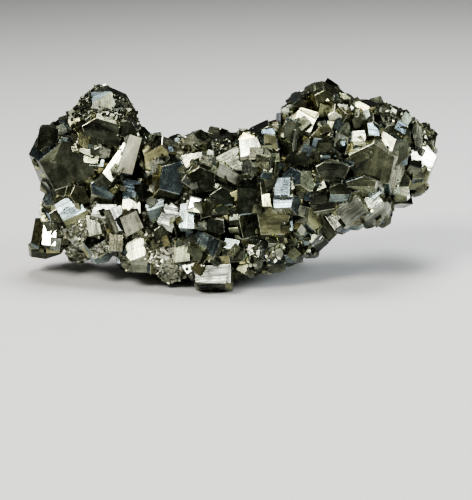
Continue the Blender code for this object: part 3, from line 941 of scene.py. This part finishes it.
# %% Crumbs in the crevices
# shares weighted to dark and black, so that the crumbs paint shade in the crevices, with gold for
# rust
CRUMB_FINISHES_AND_SHADE = {
    "pale": 2, "grey": 8, "gold": 18, "olive": 26, "dark": 32, "black": 14, "bright": 1,
}
CRUMB_SPACING = 2.4 * MM
CRUMB_WIDTHS = (0.35 * MM, 0.85 * MM)
BROKEN_PROPORTIONS = (0.7, 1.3)
DRIFT = 0.2 * MM
seeds = []
for place, out in sample_crevices(CRUMB_SPACING):
    sizes = three_sizes(chance.uniform(*CRUMB_WIDTHS), *BROKEN_PROPORTIONS)
    drift = Vector([chance.uniform(-DRIFT, DRIFT) for _ in range(3)])
    habit = chance.choice(BROKEN_HABITS)
    seeds.append((habit, place + drift, random_turn(), sizes, CRUMB_FINISHES_AND_SHADE))
crumbs = sow("crevice_crumbs", seeds)

# %% [markdown]
# ## Grains
#
# The granular masses glitter, because each of their grains has broken faces of its own. Grains
# are sown on the granular faces, so many to the square millimetre: dark ones on the tarnished
# masses, and pale ones on the sugary masses low on the front. They are two pieces, so that
# neither mesh grows too large.

# %% Grains on the granular masses
SOOT_FINISHES = {"soot": 42, "dark": 26, "olive": 12, "grey": 11, "pale": 5, "bright": 4}
SUGAR_FINISHES = {"sugar": 50, "pale": 22, "grey": 14, "bright": 8, "olive": 6}
GRAINS_PER_MM2 = {"sugar": 2.8, "soot": 1.5}
GRAIN_WIDTHS = (0.4 * MM, 1.3 * MM)
GRAIN_RISE = 0.1  # how far a grain's middle stands above the face, in its widths


def random_point(corners):
    """A place at random in one of the triangles that fan out from a face's first corner."""
    first, *rest = corners
    number = chance.randrange(len(rest) - 1)
    low, high = sorted((chance.random(), chance.random()))
    return first * low + rest[number] * (high - low) + rest[number + 1] * (1 - high)


def grain_seeds(wanted, shares):
    """Seeds of grains on the sugary faces, or on all the others."""
    seeds = []
    for corners, normal, area, finish in lumps:
        if (finish == "sugar") != (wanted == "sugar"):
            continue
        for _ in range(int(area / MM**2 * GRAINS_PER_MM2[wanted] + chance.random())):
            place = random_point(corners)
            if place.z < LOWEST_SEAT / 2:
                continue
            width = skewed_width(*GRAIN_WIDTHS)
            sizes = three_sizes(width, *BROKEN_PROPORTIONS)
            seat = place + normal * width * GRAIN_RISE
            seeds.append((chance.choice(BROKEN_HABITS), seat, random_turn(), sizes, shares))
    return seeds


dark_grains = sow("dark_grains", grain_seeds("soot", SOOT_FINISHES))
pale_grains = sow("pale_grains", grain_seeds("sugar", SUGAR_FINISHES))

# %% [markdown]
# ## Shader maths as Python
#
# Small sums and masks are easier to read as Python than as nodes. A signal wraps a node's
# output, and an operator on it adds the Math node that does the work. A recipe is a material
# that is built this way, and all its nodes come from one method.

# %% A signal
class Signal:
    """An output of a node. An operator adds a Math node and gives its output."""

    def __init__(self, recipe, socket):
        self.recipe = recipe
        self.socket = socket

    def also(self, output):
        """Another output of the same node."""
        return Signal(self.recipe, self.socket.node.outputs[output])

    def math(self, operation, *values):
        return self.recipe.node("ShaderNodeMath", {"operation": operation}, dict(enumerate(values)))

    def __add__(self, other):
        return self.math("ADD", self, other)

    def __sub__(self, other):
        return self.math("SUBTRACT", self, other)

    def __rsub__(self, other):
        return self.math("SUBTRACT", other, self)

    def __mul__(self, other):
        return self.math("MULTIPLY", self, other)

    __radd__ = __add__
    __rmul__ = __mul__


# %% A material's recipe
class Recipe:
    """A material that is made of nodes."""

    def __init__(self, name):
        self.material = bpy.data.materials.new(name)
        self.material.use_nodes = True
        self.tree = self.material.node_tree
        self.shader = self.tree.nodes["Principled BSDF"]

    def node(self, kind, settings=None, values=None, output=0):
        """Adds a node with its settings and the values or links of its sockets."""
        made = self.tree.nodes.new(kind)
        for name, setting in (settings or {}).items():
            setattr(made, name, setting)
        for name, value in (values or {}).items():
            self.feed(made.inputs[name], value)
        return Signal(self, made.outputs[output])

    def feed(self, socket, value):
        """Links a signal to a socket, or sets the socket's value."""
        if isinstance(value, Signal):
            self.tree.links.new(value.socket, socket)
        elif isinstance(value, tuple) and len(value) == 3 and socket.type == "RGBA":
            socket.default_value = (*value, 1)
        else:
            socket.default_value = value

    def mix(self, amount, first, second, blend="MIX"):
        """Mixes two colours."""
        settings = {"data_type": "RGBA", "blend_type": blend}
        return self.node("ShaderNodeMix", settings, {0: amount, 6: first, 7: second}, output=2)

    def vector(self, operation, first, second, output="Vector"):
        """Vector arithmetic."""
        settings = {"operation": operation}
        return self.node("ShaderNodeVectorMath", settings, {0: first, 1: second}, output=output)

    def grey(self, value):
        """A grey of this value."""
        values = {"Red": value, "Green": value, "Blue": value}
        return self.node("ShaderNodeCombineColor", None, values)

    def attribute(self, name, output="Fac"):
        return self.node("ShaderNodeAttribute", {"attribute_name": name}, output=output)

    def noise(self, place, scale, detail, roughness=0.6):
        values = {"Vector": place, "Scale": scale, "Detail": detail, "Roughness": roughness}
        return self.node("ShaderNodeTexNoise", None, values)

    def scaled(self, place, scales):
        """A place with its axes stretched."""
        return self.node("ShaderNodeMapping", None, {"Vector": place, "Scale": scales})

    def band(self, signal, low, high):
        """0 below low, 1 above high, and a smooth step between."""
        settings = {"interpolation_type": "SMOOTHSTEP"}
        values = {"Value": signal, "From Min": low, "From Max": high}
        return self.node("ShaderNodeMapRange", settings, values)


# %% [markdown]
# ## Pyrite
#
# The metal's colour, roughness and striations come from the face's attributes. A real face isn't
# one flat mirror but a mosaic of long blocks, each tilted by a degree or two, so Voronoi cells
# stretched along the striations tilt the normal and shift the tone. Over them lie broad painted
# reflection gradients, mottled tarnish with painted cloudy highlights, fine striae, rubbed edges
# with a painted highlight, and darkening in crevices: black painted shade, and golden-brown oxide
# in places. Ambient occlusion tells where the crevices are. Heights are in millimetres.

# %% The mosaic of blocks
BLOCKS = (0.55, 0.13, 1.0)  # so many to the millimetre, across and along the striations
HALF = (0.5, 0.5, 0.5)
THIRD = (0.33, 0.33, 0.33)


def mosaic(recipe, patch):
    """How far each block leans here, and its tone."""
    cells = recipe.scaled(patch, BLOCKS)
    own = recipe.node("ShaderNodeTexVoronoi", None, {"Vector": cells, "Scale": 1.0}, "Color")
    lean = recipe.vector("SUBTRACT", own, HALF)
    offset = recipe.vector("SUBTRACT", cells, own.also("Position"))
    tilt = recipe.vector("DOT_PRODUCT", lean, offset, output="Value")
    tone = recipe.vector("DOT_PRODUCT", own, THIRD, output="Value")
    return tilt, tone


# %% The crevices
def crevices_within(recipe, reach):
    """1 where other surfaces close in within this reach in millimetres, and 0 in the open."""
    values = {"Distance": reach * MM}
    openness = recipe.node("ShaderNodeAmbientOcclusion", {"samples": 4}, values, "AO")
    return recipe.band(1 - openness, 0.35, 0.90)


# %% The pyrite recipe
HAZE = 170.0  # broad patches to the metre
CLOUDS = 520.0
GRIT = 3000.0
STRIAE = (1.5, 0.025, 1.0)  # streaks to the millimetre, across and along
# a pale metal laid in clouds over the mottled faces: painted cloudy highlights
PAINTED_CLOUDY_HIGHLIGHT = (0.33, 0.335, 0.26)
# a pale brass for the bevelled edges: rubbed-off tarnish and a painted highlight along each edge
RUBBED_EDGE_HIGHLIGHT = (0.55, 0.54, 0.43)
# black painted shade for the crevices; the golden brown after it is oxide in the hollows
PAINTED_CREVICE_SHADE = (0.020, 0.022, 0.013)
GOLDEN_STAIN = (0.150, 0.130, 0.048)


def pyrite(name, crevice_reach):
    """Metallic pyrite, with painted shade and oxide in crevices up to so many millimetres wide."""
    recipe = Recipe(name)
    place = recipe.node("ShaderNodeTexCoord", output="Object")
    patch = recipe.node("ShaderNodeUVMap", {"uv_map": "grain"})
    metal = recipe.attribute("metal", "Color")
    roughness = recipe.attribute("roughness")
    mottle = recipe.attribute("mottle")
    striae = recipe.attribute("striae")
    worn = recipe.attribute("worn")
    takes_shade_and_oxide = recipe.attribute("shade_and_oxide")

    # patterns
    haze = recipe.noise(place, HAZE, detail=2.0)
    clouds = recipe.noise(place, CLOUDS, detail=6.0, roughness=0.7)
    grit = recipe.noise(place, GRIT, detail=2.0)
    lines = recipe.noise(recipe.scaled(patch, STRIAE), 1.0, detail=4.0, roughness=0.8)
    tilt, tone = mosaic(recipe, patch)
    tarnish = recipe.band(clouds, 0.50, 0.62) * mottle
    # where the clouds are low, mottled faces lighten as a painted cloudy highlight, and their
    # roughness rises
    cloudy_highlight = recipe.band(clouds, 0.50, 0.36) * mottle
    grooves = recipe.band(lines, 0.42, 0.60) * striae
    # ambient occlusion finds the crevices: the colour there is painted shade and oxide, and the
    # roughness rises
    crevice = crevices_within(recipe, crevice_reach)

    # colour: metal shaded by painted reflection gradients, tarnish and grooves, painted cloudy
    # highlights, rubbed edges with a painted highlight, and painted crevice shade and oxide over
    # all
    # broad haze patches lighten and darken the metal, a painted reflection gradient across each
    # face; tarnish and grooves darken it as well
    shade = recipe.band(haze, 0.30, 0.70) * 0.9 + 0.55
    shade = shade * (1 - striae * 0.3 + tone * striae * 0.6)
    shade = shade * (1 - tarnish * 0.28) * (1 - grooves * 0.36)
    shaded = recipe.mix(1.0, metal, recipe.grey(shade), "MULTIPLY")
    with_cloudy_highlight = recipe.mix(cloudy_highlight * 0.12, shaded, PAINTED_CLOUDY_HIGHLIGHT)
    # the worn bevels lighten in patches: wear, and a painted highlight along the edges
    rubbed_and_highlit = recipe.mix(worn * recipe.band(clouds, 0.60, 0.40) * 0.45, with_cloudy_highlight, RUBBED_EDGE_HIGHLIGHT)
    # painted shade in the crevices, black, and golden-brown oxide where the haze is high
    shade_and_oxide = recipe.mix(recipe.band(haze, 0.48, 0.60), PAINTED_CREVICE_SHADE, GOLDEN_STAIN)
    with_shade_and_oxide = recipe.mix(crevice * takes_shade_and_oxide, rubbed_and_highlit, shade_and_oxide)
    recipe.feed(recipe.shader.inputs["Base Color"], with_shade_and_oxide)

    # gloss
    recipe.shader.inputs["Metallic"].default_value = 1.0
    wear = tarnish * 0.12 + cloudy_highlight * 0.14 + grooves * 0.1 + crevice * 0.15
    recipe.feed(recipe.shader.inputs["Roughness"], roughness + wear)

    # relief
    height = tilt * 0.26 * (striae + 0.3) + lines * striae * 0.09
    height = height + clouds * mottle * 0.04 + grit * 0.008
    relief = {"Height": height, "Distance": MM, "Strength": 1.0}
    bump = recipe.node("ShaderNodeBump", None, relief, "Normal")
    recipe.feed(recipe.shader.inputs["Normal"], bump)
    print(name, len(recipe.tree.nodes), "nodes")
    return recipe.material


# %% Give the pieces their metal
cluster.data.materials.append(pyrite("pyrite_faces", crevice_reach=2.2))
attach(cluster, "root")
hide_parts("pyrite_cluster")
small_faces = pyrite("pyrite_small", crevice_reach=1.4)
for piece in (small_crystals, crumbs, dark_grains, pale_grains):
    piece.data.materials.append(small_faces)

# %% [markdown]
# ## Floor, light and camera
#
# A plain pale floor and three soft lights, high on the left, on the right and above. Metal shows
# what it mirrors, so the lights are large, and the room round them is dim, with a few brighter
# patches overhead. The floor is so wide that its far edge isn't seen.

# %% Floor
FLOOR_SIDE = 60.0
bpy.ops.object.select_all(action="DESELECT")
bpy.ops.mesh.primitive_plane_add(size=FLOOR_SIDE, location=(0, 0, 0))
floor = bpy.context.object
floor.name = "floor"
floor_recipe = Recipe("floor")
floor_recipe.feed(floor_recipe.shader.inputs["Base Color"], (0.60, 0.60, 0.59))
floor_recipe.shader.inputs["Roughness"].default_value = 0.75
floor.data.materials.append(floor_recipe.material)
print("floor", FLOOR_SIDE, "m")

# %% Lights
MIDDLE = Vector((0, 0, 30)) * MM


def soft_light(name, offset, size, watts, colour=(1, 1, 1)):
    """A square light at an offset in metres from the cluster's middle, turned towards it."""
    bpy.ops.object.light_add(type="AREA", location=MIDDLE + Vector(offset))
    light = bpy.context.object
    light.name = name
    light.data.shape = "SQUARE"
    light.data.size = size
    light.data.energy = watts
    light.data.color = colour
    light.rotation_euler = (-Vector(offset)).to_track_quat("-Z", "Y").to_euler()
    print(name, watts, "W")


soft_light("left_light", (-0.35, -0.35, 0.50), 0.27, 5.4, (1.0, 0.975, 0.91))
soft_light("right_light", (0.55, -0.15, 0.25), 0.20, 3.5, (0.90, 0.95, 1.0))
soft_light("top_light", (0.05, 0.15, 0.60), 0.30, 4.0)


# %% The room
class RoomRecipe(Recipe):
    """The dim room round the studio, as nodes of the world."""

    def __init__(self, name):
        self.world = bpy.data.worlds.new(name)
        self.world.use_nodes = True
        self.tree = self.world.node_tree
        self.shader = self.tree.nodes["Background"]


room = RoomRecipe("room")
direction = room.node("ShaderNodeTexCoord", output="Generated")
height = room.vector("DOT_PRODUCT", direction, (0.0, 0.0, 1.0), output="Value")
shapes = room.noise(direction, 2.6, detail=2.0, roughness=0.5)
glow = room.band(height, -0.1, 1.0) * 0.25 + 0.018
glow = glow * (room.band(shapes, 0.42, 0.62) * 2.0 + 0.15)
room.feed(room.shader.inputs["Color"], room.grey(glow))
bpy.context.scene.world = room.world
bpy.context.scene.view_settings.look = "AgX - Medium High Contrast"
print("room", len(room.tree.nodes), "nodes")

# %% [markdown]
# ## Camera
#
# The camera stands at the eye that the sheet was made for, a little above the cluster and looking
# down on it, with a long lens, so that the crystals keep their proportions. It leans by a degree.

# %% Set up the camera
AIM = Vector((3.2, 0.0, 12.8))  # millimetres, from the front foot
FRAME_HEIGHT = 500  # pixels
FOCAL_PIXELS = 1418
SENSOR = 24.0  # millimetres
NEAREST = 0.01
camera_data = bpy.data.cameras.new("camera")
camera = bpy.data.objects.new("camera", camera_data)
bpy.context.scene.collection.objects.link(camera)
bpy.context.scene.camera = camera
camera_data.sensor_fit = "VERTICAL"
camera_data.sensor_height = SENSOR
camera_data.lens = FOCAL_PIXELS / FRAME_HEIGHT * SENSOR
camera_data.clip_start = NEAREST
look = (AIM - EYE).to_track_quat("-Z", "Y").to_matrix() @ Matrix.Rotation(-LEAN, 3, "Z")
camera.location = (FRONT_FOOT + EYE) * MM
camera.rotation_euler = look.to_euler()
print("lens", round(camera_data.lens, 1), "mm")
